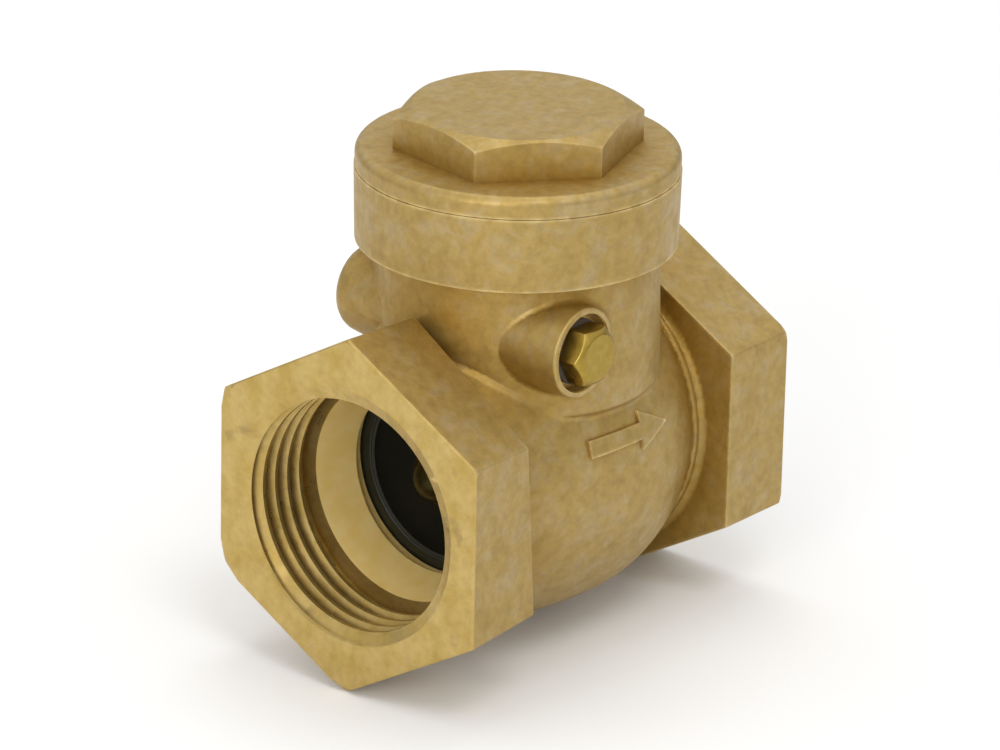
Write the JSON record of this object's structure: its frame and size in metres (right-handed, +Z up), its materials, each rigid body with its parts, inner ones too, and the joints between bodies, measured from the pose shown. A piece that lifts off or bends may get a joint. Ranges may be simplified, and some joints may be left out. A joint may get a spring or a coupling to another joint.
{
  "type": "swing check valve",
  "caption": "Swing check valve with a round forged body, hexagonal threaded ends, a screwed hexagon cap, and a rubber-faced disc on an arm that swings on a hinge pin.",
  "frame": {"origin": "centre of the inlet end face, on the pipe axis", "axes": "+X along the pipe in the direction of flow, +Z up through the cap, and the pin plug faces -Y"},
  "size_m": [0.0634, 0.041, 0.0686],
  "materials": {
    "forged_brass": "forged brass, blasted matt and mottled, with machined ends and threads",
    "cap_brass": "forged brass, blasted matt and mottled, with a machined underside",
    "gasket_fibre": "dark pressed fibre",
    "pin_steel": "drawn stainless steel, smooth",
    "plug_brass": "turned brass, dull from handling",
    "flap_brass": "cast and turned brass",
    "seal_rubber": "black moulded rubber, satin",
    "washer_steel": "dark steel, dull",
    "screw_brass": "dark tarnished brass",
    "nut_brass": "turned brass, smooth"
  },
  "bodies": {
    "body": {"valve_body": "forged_brass", "cap": "cap_brass", "cap_gasket": "gasket_fibre", "hinge_pin": "pin_steel", "pin_plug": "plug_brass", "plug_seal": "gasket_fibre"},
    "flap": {"hanger": "flap_brass"},
    "disc": {"disc_holder": "flap_brass", "seal_disc": "seal_rubber", "seal_washer": "washer_steel", "seal_screw": "screw_brass", "disc_nut": "nut_brass", "nut_washer": "nut_brass"}
  },
  "joints": [
    {"name": "flap_swing", "type": "hinge", "parent": "body", "child": "flap", "pos_m": [0.02324, 0, 0.0199], "axis": [0, -1, 0], "range_deg": [0, 52]},
    {"name": "disc_spin", "type": "hinge", "parent": "flap", "child": "disc", "pos_m": [0.01835, 0, 0], "axis": [0.9994, 0, 0.0349], "continuous": true}
  ]
}
